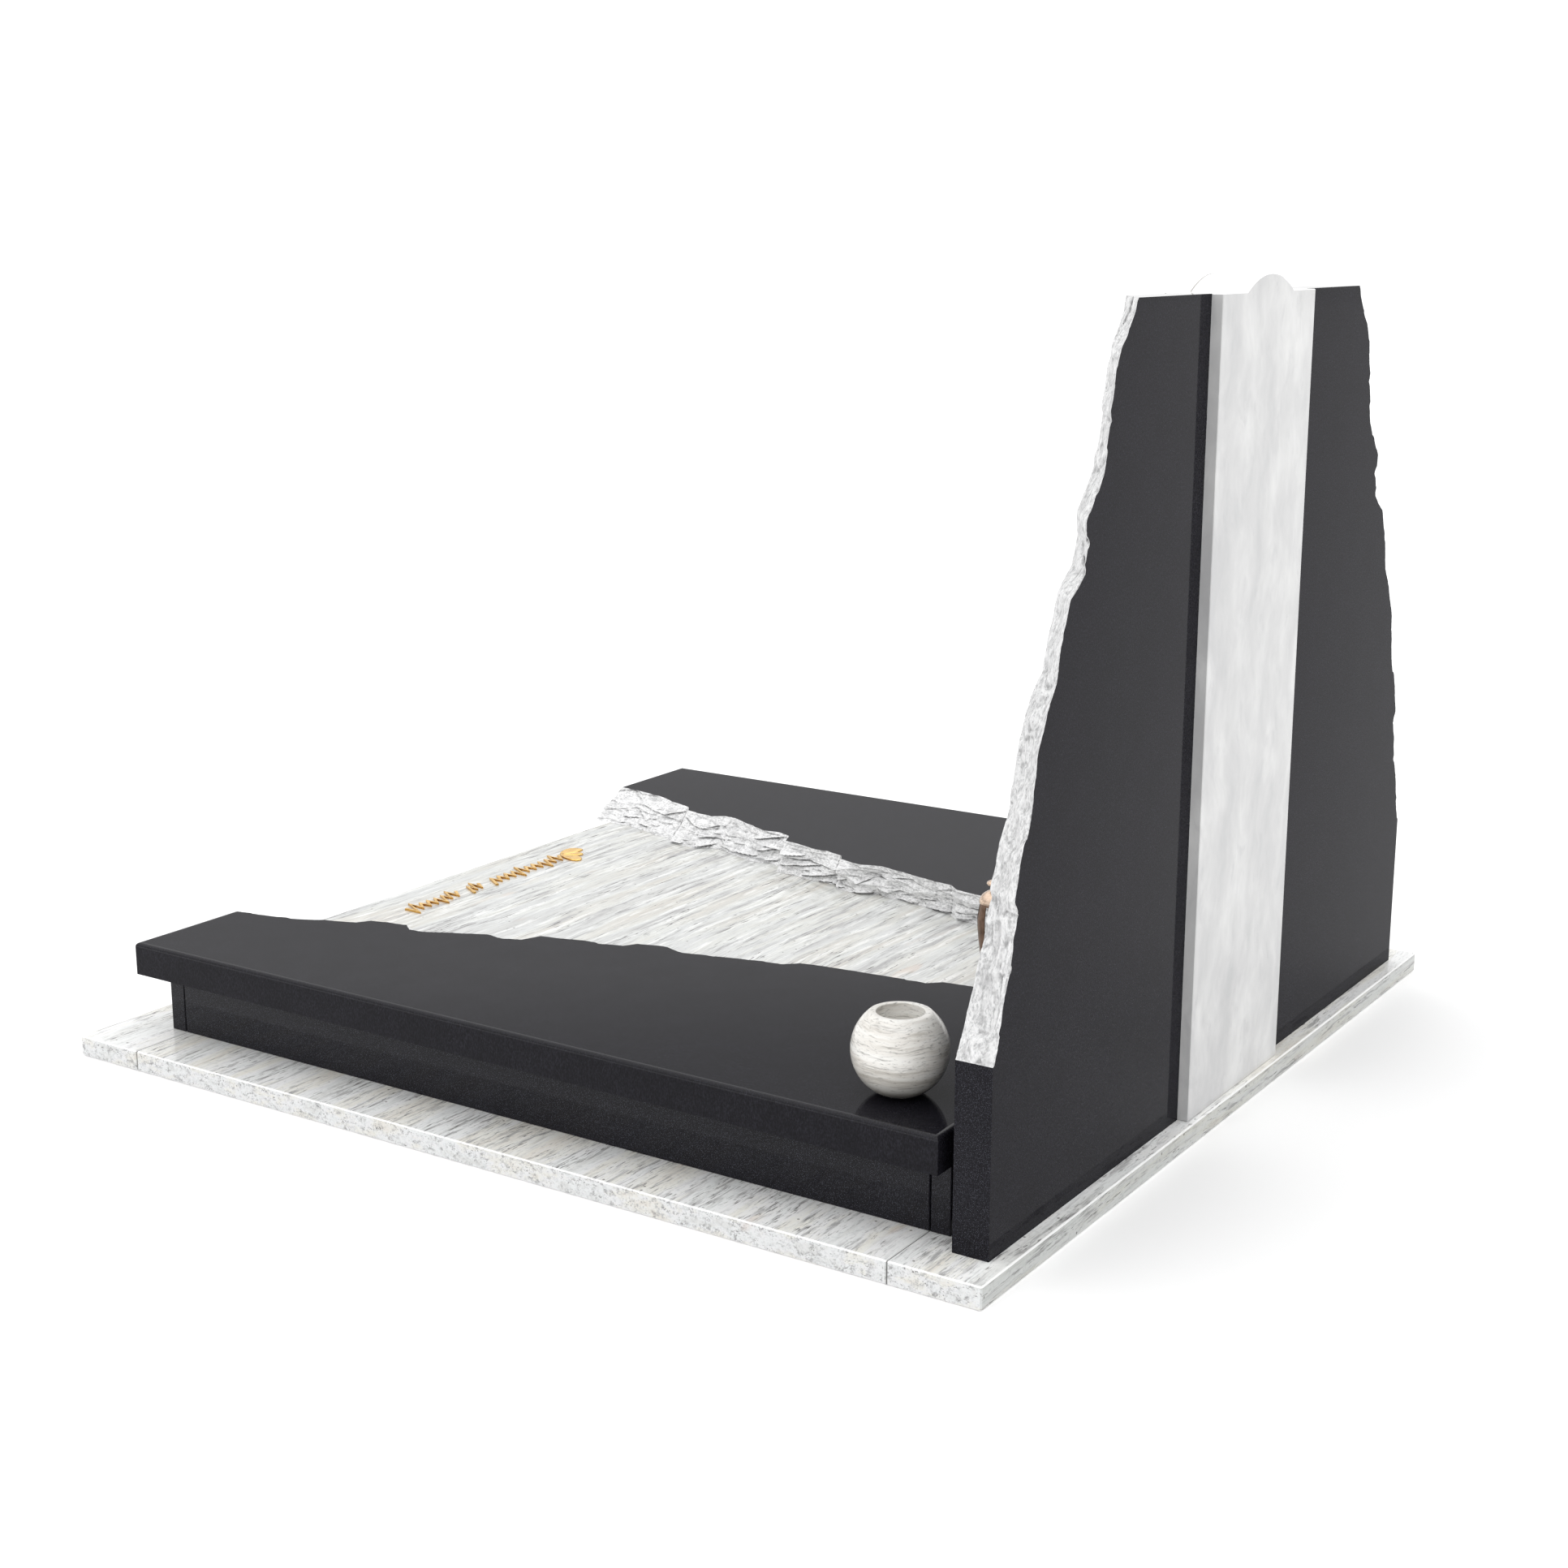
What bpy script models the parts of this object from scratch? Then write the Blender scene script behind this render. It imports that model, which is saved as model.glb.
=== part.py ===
"""Double grave monument: a granite kerb under two rock-pitched cover slabs and a pale middle slab, with a
three-part headstone, a ball vase and a bronze grave lantern.

Metres, +Z up. The origin is on the ground under the middle of the plinth. +Y runs from the foot of the
graves to the headstone, and the two halves mirror each other across X = 0.
"""

import math

import bmesh
import bpy
from mathutils import Vector, noise

# Clearances
GAP = 0.0003
JOINT = 0.003

# Plinth, a frame of four bands laid flat
PLINTH_WIDTH = 2.44
PLINTH_LENGTH = 2.49
PLINTH_THICK = 0.05
BAND_LIP = 0.004
PLINTH_ARRIS = 0.003

# Upright walls of the kerb
WALL_THICK = 0.045
WALL_TALL = 0.15
WALL_SIDE_INSET = 0.16
WALL_FOOT_INSET = 0.148
WALL_ARRIS = 0.0015

# Pale slab between the covers
MIDDLE_THICK = 0.04
MIDDLE_FOOT_INSET = 0.006
MIDDLE_LAP = 0.11
MIDDLE_ARRIS = 0.002

# Black cover slabs
COVER_THICK = 0.08
COVER_SIDE_OVERHANG = 0.064
COVER_FOOT_OVERHANG = 0.042
COVER_HEAD_OVERHANG = 0.005
COVER_ARRIS = 0.0105
COVER_FOOT_HALF = 0.808
COVER_FOOT_PULL = 0.577
COVER_HEAD_PULL = 0.290
COVER_HEAD_HALF = 0.285
COVER_SLOPE = 0.122
COVER_SLOPE_END = 0.55

# Black headstone slabs
STONE_THICK = 0.08
STONE_TALL = 1.78
STONE_SIDE_INSET = 0.10
STONE_PLAIN_TALL = 0.394
STONE_PULL_IN = 0.103
STONE_TOP_PULL = 0.327
STONE_TOP_IN = 0.501
STONE_BEVEL_PULL = 0.078
STONE_BEVEL_TOP_PULL = 0.125
STONE_BEVEL_TOP = 0.127

# Pale centre slab of the headstone
CENTRE_WIDTH = 0.509
CENTRE_PROUD = 0.025
CENTRE_COVER_GAP = 0.007
CENTRE_HEAD_MARGIN = 0.015
DOME_HALF = 0.128
DOME_RISE = 0.037
CENTRE_ARRIS = 0.0015

# Rock-pitched edges. A break is a distance along the edge and how far the stone stands out there
CHIP_LONG = 0.085
CHIP_TALL = 0.040
CHIP_DEEP = 0.030
CHIP_STEP = 0.026
ARRIS_SHARE = 0.3
COVER_CHIP_ROWS = 4
STONE_CHIP_ROWS = 4
COVER_BREAKS = (
    (0.0, 0.006), (0.13, -0.018), (0.33, -0.006), (0.35, 0.021), (0.45, 0.014), (0.48, -0.020), (0.52, -0.029),
    (0.67, -0.008), (0.72, -0.033), (0.765, -0.027), (0.785, 0.017), (1.0, 0.0), (1.02, 0.027), (1.10, 0.018),
    (1.15, -0.008), (1.40, -0.010), (1.43, 0.012), (1.75, -0.012), (1.78, 0.014), (2.1, 0.0),
)
STONE_BREAKS = (
    (0.0, -0.004), (0.15, -0.016), (0.28, -0.010), (0.30, 0.006), (0.48, 0.008), (0.56, 0.025), (0.64, 0.022),
    (0.68, 0.006), (0.84, 0.014), (0.88, -0.022), (0.93, -0.017), (0.98, 0.009), (1.06, -0.017), (1.16, -0.006),
    (1.18, 0.011), (1.30, 0.015), (1.36, -0.010),
)

# Ball vase, bored out for flowers
VASE_RADIUS = 0.100
VASE_FOOT_RADIUS = 0.036
VASE_LIP_RADIUS = 0.062
VASE_BORE_RADIUS = 0.049
VASE_FLOOR = 0.028
VASE_SIDE_MARGIN = 0.159
VASE_HEAD_MARGIN = 0.179
VASE_SIDES = 36

# Bronze lantern
LANTERN_RADIUS = 0.042
LANTERN_FOOT_RADIUS = 0.030
LANTERN_RIM_RADIUS = 0.036
LANTERN_TALL = 0.187
LANTERN_SWELL = 2.2
LANTERN_WALL = 0.003
LANTERN_Y = 0.6055
LANTERN_SIDES = 30
SLOT_COUNT = 6
SLOT_TURN = math.radians(2)
SLOT_WIDTH = 0.014
SLOT_LOW = 0.104
SLOT_HIGH = 0.183
LID_RADIUS = 0.038
LID_SKIRT = 0.002
LID_RISE = 0.030
KNOB_RADIUS = 0.021
KNOB_HALF_TALL = 0.0075
KNOB_NECK = 0.0075
KNOB_NECK_TALL = 0.009

# Rows of strokes that stand for an inscription
STROKE_RISE = 0.005
STROKE_WIDE = 0.0085
STROKE_PITCH = 0.0155
STROKE_LEAN = 0.35
STROKE_BODY = 0.031
STROKE_TALL = 0.049
RAISED_STROKES = (5, 13, 21)
LOWERED_STROKES = (2, 12)
INSCRIPTION_INSET = 0.130
WORDS = {"inscription_long": (-0.287, 0.043), "inscription_short": (0.064, 0.137), "inscription_end": (0.157, 0.374)}
SPRIG_X = -0.292

# Outline of the three-leaved sprig, as directions in degrees and distances from its stem
SPRIG_OUTLINE = (
    (225, 0.012), (214, 0.034), (205, 0.060), (197, 0.077), (187, 0.086), (177, 0.090), (170, 0.086), (163, 0.062),
    (155, 0.057), (147, 0.063), (138, 0.066), (130, 0.062), (119, 0.050), (108, 0.057), (97, 0.072), (86, 0.080),
    (76, 0.080), (68, 0.066), (62, 0.042), (52, 0.018),
)

# Places worked out from the sizes above
half_width = PLINTH_WIDTH / 2
foot_y = -PLINTH_LENGTH / 2
head_y = PLINTH_LENGTH / 2
centre_back_y = head_y - CENTRE_HEAD_MARGIN
stone_back_y = centre_back_y - CENTRE_PROUD
stone_front_y = stone_back_y - STONE_THICK
centre_front_y = stone_front_y - CENTRE_PROUD
cover_head_y = centre_front_y - CENTRE_COVER_GAP
wall_head_y = cover_head_y - COVER_HEAD_OVERHANG
wall_foot_y = foot_y + WALL_FOOT_INSET
cover_foot_y = wall_foot_y - COVER_FOOT_OVERHANG
wall_x = half_width - WALL_SIDE_INSET
cover_x = wall_x + COVER_SIDE_OVERHANG
stone_x = half_width - STONE_SIDE_INSET
foot_band_y = wall_foot_y + WALL_THICK + BAND_LIP
head_band_y = wall_head_y - WALL_THICK - BAND_LIP
side_band_x = wall_x - WALL_THICK - BAND_LIP
wall_low = PLINTH_THICK + GAP
wall_top = wall_low + WALL_TALL
middle_low = wall_top - MIDDLE_THICK
middle_half = COVER_FOOT_HALF - COVER_SLOPE + MIDDLE_LAP
cover_low = wall_top + GAP
cover_top = cover_low + COVER_THICK
stone_top = wall_low + STONE_TALL


def material(name, colour, roughness, metallic=0.0):
    made = bpy.data.materials.new(name)
    made.use_nodes = True
    made.diffuse_color = (*colour, 1.0)
    shader = made.node_tree.nodes["Principled BSDF"]
    shader.inputs["Base Color"].default_value = (*colour, 1.0)
    shader.inputs["Roughness"].default_value = roughness
    shader.inputs["Metallic"].default_value = metallic
    return made


BLACK = material("polished_black_granite", (0.012, 0.012, 0.014), 0.10)
ROCK = material("pitched_rock_face", (0.48, 0.48, 0.49), 0.75)
PALE = material("pale_streaked_granite", (0.62, 0.61, 0.58), 0.35)
WHITE = material("white_marble", (0.76, 0.76, 0.76), 0.30)
BRASS = material("gilt_brass", (0.72, 0.46, 0.14), 0.28, 1.0)
BRONZE = material("brown_bronze", (0.30, 0.17, 0.11), 0.38, 1.0)


def add(name, mesh_data, *materials, smooth=None):
    """An object from a bmesh, with its faces turned outwards."""
    bmesh.ops.recalc_face_normals(mesh_data, faces=mesh_data.faces)
    mesh = bpy.data.meshes.new(name)
    mesh_data.to_mesh(mesh)
    mesh_data.free()
    for each in materials:
        mesh.materials.append(each)
    if smooth is not None:
        mesh.shade_smooth()
        mesh.set_sharp_from_angle(angle=math.radians(smooth))
    made = bpy.data.objects.new(name, mesh)
    bpy.context.scene.collection.objects.link(made)
    return made


def arris(piece, width, segments=1, by_weight=False):
    """Breaks the sharp edges of a stone."""
    edge = piece.modifiers.new("arris", "BEVEL")
    edge.width = width
    edge.segments = segments
    edge.limit_method = "WEIGHT" if by_weight else "ANGLE"
    edge.angle_limit = math.radians(40)


def block(name, low, high, stone, edge):
    """A sawn block between two corners."""
    shape = bmesh.new()
    bmesh.ops.create_cube(shape, size=1.0)
    for corner in shape.verts:
        corner.co = [low[i] if corner.co[i] < 0 else high[i] for i in range(3)]
    piece = add(name, shape, stone)
    arris(piece, edge)
    return piece


def plate(name, outline, low, high, axis, stone, edge=0.0, smooth=None):
    """A flat outline of (across, up) points extruded between two places along an axis, "y" or "z"."""
    shape = bmesh.new()
    rings = []
    for place in (low, high):
        if axis == "y":
            ring = [shape.verts.new((a, place, b)) for a, b in outline]
        else:
            ring = [shape.verts.new((a, b, place)) for a, b in outline]
        rings.append(ring)
    shape.faces.new(rings[0])
    shape.faces.new(rings[1])
    for i in range(len(outline)):
        j = (i + 1) % len(outline)
        shape.faces.new((rings[0][i], rings[0][j], rings[1][j], rings[1][i]))
    piece = add(name, shape, stone, smooth=smooth)
    if edge:
        arris(piece, edge)
    return piece


def loft(name, rings, rock_from, rock_to, arris_at, *materials):
    """Joins rings of equal length and closes both ends.

    Strips rock_from to rock_to take the second material. The ring corner arris_at runs along the piece as a
    polished edge, and the two ring ends are polished with it.
    """
    shape = bmesh.new()
    made = [[shape.verts.new(point) for point in ring] for ring in rings]
    weight = shape.edges.layers.float.new("bevel_weight_edge")
    count = len(made[0])
    for low, high in zip(made, made[1:]):
        for i in range(count):
            j = (i + 1) % count
            face = shape.faces.new((low[i], low[j], high[j], high[i]))
            face.material_index = int(rock_from <= i < rock_to)
        if arris_at is not None:
            shape.edges.get((low[arris_at], high[arris_at]))[weight] = 1.0
    for ring in (made[0], made[-1]):
        shape.faces.new(ring)
        if arris_at is not None:
            shape.edges.get((ring[arris_at], ring[arris_at + 1]))[weight] = 1.0
    return add(name, shape, *materials)


def turned(name, profile, sides, place, stone, smooth=35):
    """Turns an outline of (radius, height) points about a vertical line. A radius of 0 closes that end."""
    shape = bmesh.new()
    rings = []
    for radius, height in profile:
        if radius == 0:
            rings.append([shape.verts.new((place[0], place[1], place[2] + height))])
            continue
        turns = [2 * math.pi * i / sides for i in range(sides)]
        ring = [(place[0] + radius * math.cos(a), place[1] + radius * math.sin(a)) for a in turns]
        rings.append([shape.verts.new((x, y, place[2] + height)) for x, y in ring])
    for low, high in zip(rings, rings[1:]):
        for i in range(sides):
            j = (i + 1) % sides
            corners = [low[i % len(low)], low[j % len(low)], high[j % len(high)], high[i % len(high)]]
            shape.faces.new(dict.fromkeys(corners))
    return add(name, shape, stone, smooth=smooth)


def bezier(share, a, b, c, d):
    """A smooth run from a to d that starts towards b and ends coming from c."""
    rest = 1 - share
    return a * rest**3 + 3 * b * share * rest**2 + 3 * c * share**2 * rest + d * share**3


def between(breaks, along):
    """How far the stone stands out between the two nearest breaks."""
    for (start, low), (stop, high) in zip(breaks, breaks[1:]):
        if along < stop:
            return low + (high - low) * max(0.0, along - start) / (stop - start)
    return breaks[-1][1]


def pitched(breaks, along, share, across, seed):
    """How far a pitched face stands out from its smooth form, at a share of the way across it.

    The breaks run right across. Hollow flakes that meet in sharp crests lie over them, shallow at both arrises.
    """
    flake = noise.voronoi(Vector((along / CHIP_LONG, across / CHIP_TALL, seed)))[0][0]
    deep = ARRIS_SHARE + (1 - ARRIS_SHARE) * math.sin(math.pi * share)
    return between(breaks, along) + CHIP_DEEP * deep * (min(flake, 1.0) ** 2 - 0.3)


def cover_top_half(y):
    """Half the distance between the two covers at their polished faces."""
    share = (y - cover_foot_y) / (cover_head_y - cover_foot_y)
    return bezier(share, COVER_FOOT_HALF, COVER_FOOT_PULL, COVER_HEAD_PULL, COVER_HEAD_HALF)


def cover_slope(y):
    """How much closer to the middle the foot of the pitched face lies."""
    share = (y - cover_foot_y) / (cover_head_y - cover_foot_y)
    return COVER_SLOPE * max(0.0, 1 - share / COVER_SLOPE_END)


def make_cover(name, side):
    steps = round((cover_head_y - cover_foot_y) / CHIP_STEP)
    rings = []
    for i in range(steps + 1):
        y = cover_foot_y + (cover_head_y - cover_foot_y) * i / steps
        ring = [(side * cover_x, y, cover_low), (side * cover_x, y, cover_top)]
        for row in range(COVER_CHIP_ROWS + 1):
            down = row / COVER_CHIP_ROWS
            half = cover_top_half(y) - cover_slope(y) * down
            half -= pitched(COVER_BREAKS, y - cover_foot_y, down, down * COVER_THICK, 2.0)
            ring.append((side * half, y, cover_top - down * COVER_THICK))
        rings.append(ring)
    piece = loft(name, rings, 2, 2 + COVER_CHIP_ROWS, 1, BLACK, ROCK)
    arris(piece, COVER_ARRIS, segments=3, by_weight=True)


def stone_half(z):
    """Half width over the headstone's back face, from the middle to its outer edge."""
    share = max(0.0, (z - wall_low - STONE_PLAIN_TALL) / (STONE_TALL - STONE_PLAIN_TALL))
    inward = bezier(share, 0.0, STONE_PULL_IN, STONE_TOP_PULL, STONE_TOP_IN)
    bevel = bezier(share, 0.0, STONE_BEVEL_PULL, STONE_BEVEL_TOP_PULL, STONE_BEVEL_TOP)
    return stone_x - inward, bevel


def make_stone(name, side):
    """One black slab of the headstone. Its outer edge is polished low down and pitched above."""
    plain_top = wall_low + STONE_PLAIN_TALL
    steps = round((stone_top - plain_top) / CHIP_STEP)
    heights = [wall_low, plain_top - JOINT]
    heights += [plain_top + (stone_top - plain_top) * i / steps for i in range(steps + 1)]
    inner = side * (CENTRE_WIDTH / 2 + GAP)
    rings = []
    for number, z in enumerate(heights):
        half, bevel = stone_half(z)
        ring = [(inner, stone_front_y, z), (inner, stone_back_y, z)]
        for row in range(STONE_CHIP_ROWS + 1):
            over = row / STONE_CHIP_ROWS
            x = half - bevel * over
            if number > 1:
                along = z - plain_top
                x = min(stone_x, x + pitched(STONE_BREAKS, along, over, over * STONE_THICK, 11.0))
            ring.append((side * x, stone_back_y - over * STONE_THICK, z))
        rings.append(ring)
    loft(name, rings, 2, 2 + STONE_CHIP_ROWS, None, BLACK, ROCK)


def make_centre():
    """The white slab, with a low round rise in the middle of its top."""
    half = CENTRE_WIDTH / 2
    radius = (DOME_HALF**2 + DOME_RISE**2) / (2 * DOME_RISE)
    swing = math.asin(DOME_HALF / radius)
    points = 12
    outline = [(-half, wall_low), (half, wall_low), (half, stone_top)]
    for i in range(points + 1):
        turn = swing * (1 - 2 * i / points)
        outline.append((radius * math.sin(turn), stone_top + DOME_RISE - radius * (1 - math.cos(turn))))
    outline.append((-half, stone_top))
    plate("headstone_center", outline, centre_front_y, centre_back_y, "y", WHITE, CENTRE_ARRIS)


def make_plinth():
    side_low = foot_band_y + GAP
    side_high = head_band_y - GAP
    foot = ((-half_width, foot_y, 0), (half_width, foot_band_y, PLINTH_THICK))
    head = ((-half_width, head_band_y, 0), (half_width, head_y, PLINTH_THICK))
    right = ((side_band_x, side_low, 0), (half_width, side_high, PLINTH_THICK))
    left = ((-half_width, side_low, 0), (-side_band_x, side_high, PLINTH_THICK))
    for name, (low, high) in (
        ("plinth_front", foot),
        ("plinth_back", head),
        ("plinth_right", right),
        ("plinth_left", left),
    ):
        block(name, low, high, PALE, PLINTH_ARRIS)


def make_walls():
    """Two end walls, let in for the middle slab, and two side walls between them."""
    seat = middle_half + JOINT
    seat_low = middle_low - GAP
    outline = [(-wall_x, wall_low), (wall_x, wall_low), (wall_x, wall_top), (seat, wall_top)]
    outline += [(seat, seat_low), (-seat, seat_low), (-seat, wall_top), (-wall_x, wall_top)]
    for name, low in (("wall_front", wall_foot_y), ("wall_back", wall_head_y - WALL_THICK)):
        plate(name, outline, low, low + WALL_THICK, "y", BLACK, WALL_ARRIS)
    low_y = wall_foot_y + WALL_THICK + JOINT
    high_y = wall_head_y - WALL_THICK - JOINT
    inside_x = wall_x - WALL_THICK
    block("wall_right", (inside_x, low_y, wall_low), (wall_x, high_y, wall_top), BLACK, WALL_ARRIS)
    block("wall_left", (-wall_x, low_y, wall_low), (-inside_x, high_y, wall_top), BLACK, WALL_ARRIS)


def make_middle():
    low = (-middle_half, wall_foot_y + MIDDLE_FOOT_INSET, middle_low)
    high = (middle_half, wall_head_y, wall_top)
    block("cover_middle", low, high, PALE, MIDDLE_ARRIS)


def make_vase():
    """A ball cut flat above and below, with a round-bottomed bore."""
    middle = math.sqrt(VASE_RADIUS**2 - VASE_FOOT_RADIUS**2)
    start = math.acos(VASE_FOOT_RADIUS / VASE_RADIUS)
    stop = math.acos(VASE_LIP_RADIUS / VASE_RADIUS)
    lip = middle + VASE_RADIUS * math.sin(stop)
    points = 14
    profile = [(0, 0)]
    for i in range(points + 1):
        turn = -start + (start + stop) * i / points
        profile.append((VASE_RADIUS * math.cos(turn), middle + VASE_RADIUS * math.sin(turn)))
    profile += [(VASE_BORE_RADIUS, lip), (VASE_BORE_RADIUS, VASE_FLOOR + VASE_BORE_RADIUS / 2)]
    for i in range(1, 4):
        turn = math.pi / 2 * i / 4
        drop = VASE_BORE_RADIUS / 2 * (1 - math.sin(turn))
        profile.append((VASE_BORE_RADIUS * math.cos(turn), VASE_FLOOR + drop))
    profile.append((0, VASE_FLOOR))
    place = (cover_x - VASE_SIDE_MARGIN, cover_head_y - VASE_HEAD_MARGIN, cover_top + GAP)
    turned("vase", profile, VASE_SIDES, place, PALE)


def make_lantern():
    place = (0, LANTERN_Y, wall_top + GAP)
    belly = LANTERN_TALL * 0.8
    outside = [(LANTERN_FOOT_RADIUS, 0)]
    points = 7
    for i in range(points + 1):
        share = i / points
        swell = math.sin(share * math.pi / 2) ** LANTERN_SWELL
        radius = LANTERN_FOOT_RADIUS + (LANTERN_RADIUS - LANTERN_FOOT_RADIUS) * swell
        outside.append((radius, LANTERN_WALL + (belly - LANTERN_WALL) * share))
    outside.append((LANTERN_RIM_RADIUS, LANTERN_TALL))
    inside = [(radius - LANTERN_WALL, height) for radius, height in reversed(outside[1:])]
    inside[-1] = (inside[-1][0], LANTERN_WALL * 2)
    profile = [(0, 0), *outside, *inside, (0, LANTERN_WALL * 2)]
    body = turned("lantern_body", profile, LANTERN_SIDES, place, BRONZE)
    for i in range(SLOT_COUNT // 2):
        shape = bmesh.new()
        bmesh.ops.create_cube(shape, size=1.0)
        for corner in shape.verts:
            corner.co.x *= LANTERN_RADIUS * 3
            corner.co.y *= SLOT_WIDTH
            corner.co.z *= SLOT_HIGH - SLOT_LOW
        cutter = add(f"slot_cutter_{i}", shape)
        cutter.location = (place[0], place[1], place[2] + (SLOT_HIGH + SLOT_LOW) / 2)
        cutter.rotation_euler.z = SLOT_TURN + math.pi * i / (SLOT_COUNT // 2)
        cutter.hide_render = True
        cutter.display_type = "WIRE"
        cut = body.modifiers.new("slot", "BOOLEAN")
        cut.operation = "DIFFERENCE"
        cut.object = cutter
    make_lantern_lid((place[0], place[1], place[2] + LANTERN_TALL + GAP))


def make_lantern_lid(place):
    """A domed lid with a flat round knob, hollow below, that rests on the rim."""
    seat = LANTERN_RIM_RADIUS - LANTERN_WALL
    points = 6
    profile = [(seat - JOINT, 0), (LID_RADIUS, 0), (LID_RADIUS, LID_SKIRT)]
    for i in range(1, points):
        turn = math.pi / 2 * i / points
        profile.append((LID_RADIUS * math.cos(turn), LID_SKIRT + LID_RISE * math.sin(turn)))
    top = LID_SKIRT + LID_RISE
    profile += [(KNOB_NECK, top), (KNOB_NECK, top + KNOB_NECK_TALL)]
    middle = top + KNOB_NECK_TALL + KNOB_HALF_TALL
    for i in range(1, 6):
        turn = math.pi * (i / 6 - 0.5)
        profile.append((KNOB_RADIUS * math.cos(turn), middle + KNOB_HALF_TALL * math.sin(turn)))
    profile.append((0, middle + KNOB_HALF_TALL))
    under = []
    for i in range(points):
        turn = math.pi / 2 * i / points
        radius = (seat - JOINT) * math.cos(turn)
        under.append((radius, LID_SKIRT - LANTERN_WALL + (LID_RISE - LANTERN_WALL) * math.sin(turn)))
    profile = [(0, top - 2 * LANTERN_WALL), *reversed(under), *profile]
    turned("lantern_lid", profile, LANTERN_SIDES, place, BRONZE)


def stroke_line(start, stop):
    """The middle line of one run of leaning strokes, as (across, up) points."""
    count = max(2, round((stop - start) / STROKE_PITCH))
    lean = STROKE_BODY * STROKE_LEAN
    pitch = (stop - start - lean - STROKE_WIDE) / count
    line = []
    for i in range(count + 1):
        if i % 2 == 1:
            height = STROKE_TALL if i in RAISED_STROKES else STROKE_BODY
        else:
            height = STROKE_BODY - STROKE_TALL if i in LOWERED_STROKES else 0.0
        line.append((start + STROKE_WIDE / 2 + pitch * i + height * STROKE_LEAN, height))
    return line


def thickened(line, width):
    """The outline of an open line with mitred corners and square ends."""
    sides = ([], [])
    for i, point in enumerate(line):
        here = Vector(point)
        before = Vector(line[i - 1]) if i else here - (Vector(line[1]) - here)
        after = Vector(line[i + 1]) if i < len(line) - 1 else here + (here - Vector(line[i - 1]))
        into = (here - before).normalized()
        out = (after - here).normalized()
        normal = Vector((-into.y, into.x)) + Vector((-out.y, out.x))
        normal.normalize()
        reach = width / 2 / max(0.45, normal.dot(Vector((-into.y, into.x))))
        sides[0].append(tuple(here + normal * reach))
        sides[1].append(tuple(here - normal * reach))
    return sides[0] + sides[1][::-1]


def make_inscription():
    """Gilt strokes that stand for words, and a sprig of three leaves before them."""
    base_y = cover_foot_y + INSCRIPTION_INSET + COVER_FOOT_OVERHANG
    low = wall_top + GAP
    for name, (start, stop) in WORDS.items():
        outline = thickened(stroke_line(start, stop), STROKE_WIDE)
        outline = [(x, base_y + y) for x, y in outline]
        plate(name, outline, low, low + STROKE_RISE, "z", BRASS)
    sprig = []
    for degrees, distance in SPRIG_OUTLINE:
        turn = math.radians(degrees)
        sprig.append((SPRIG_X + distance * math.cos(turn), base_y + distance * math.sin(turn)))
    plate("inscription_sprig", sprig, low, low + STROKE_RISE, "z", BRASS)


for thing in list(bpy.data.objects):
    bpy.data.objects.remove(thing, do_unlink=True)

make_plinth()
make_walls()
make_middle()
make_cover("cover_right", 1)
make_cover("cover_left", -1)
make_stone("headstone_right", 1)
make_stone("headstone_left", -1)
make_centre()
make_vase()
make_lantern()
make_inscription()
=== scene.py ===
"""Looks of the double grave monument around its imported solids. Metres, +Z up, in the frame of the solids."""

import math

import bmesh
import bpy
import numpy as np
from mathutils import Matrix, Vector, noise


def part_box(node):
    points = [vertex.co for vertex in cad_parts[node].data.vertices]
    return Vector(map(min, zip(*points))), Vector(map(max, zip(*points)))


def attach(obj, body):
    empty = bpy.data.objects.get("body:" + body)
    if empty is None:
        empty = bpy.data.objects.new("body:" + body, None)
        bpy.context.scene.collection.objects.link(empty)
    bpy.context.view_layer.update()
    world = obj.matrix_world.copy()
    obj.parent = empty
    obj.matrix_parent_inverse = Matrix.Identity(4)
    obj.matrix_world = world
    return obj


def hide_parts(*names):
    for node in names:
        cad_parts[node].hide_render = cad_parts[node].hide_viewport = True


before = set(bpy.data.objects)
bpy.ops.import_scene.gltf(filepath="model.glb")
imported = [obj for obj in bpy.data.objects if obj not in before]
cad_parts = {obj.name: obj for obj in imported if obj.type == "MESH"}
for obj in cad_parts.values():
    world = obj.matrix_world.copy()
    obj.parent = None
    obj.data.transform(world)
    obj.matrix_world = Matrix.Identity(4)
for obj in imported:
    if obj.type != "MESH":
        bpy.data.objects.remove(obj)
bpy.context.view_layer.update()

# Camera of the photograph
CAMERA_PLACE = (4.6995, 3.1071, 1.9513)
CAMERA_YAW = -146.520
CAMERA_PITCH = 13.484
CAMERA_LENS = 52.856
SENSOR = 36.0
VIEW_FAR = 300.0

# Studio: brightness of the surroundings by the sine of the height above the horizon
SKY = (
    (0.0, 1.2), (0.09, 1.2), (0.16, 0.62), (0.24, 0.66), (0.28, 0.82), (0.31, 0.97),
    (0.345, 0.78), (0.37, 0.80), (0.44, 1.2), (0.58, 1.3), (1.0, 1.6),
)
FLOOR_HALF = 60.0
FLOOR_DROP = 0.0005
FLOOR_GLOW = 0.04

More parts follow.
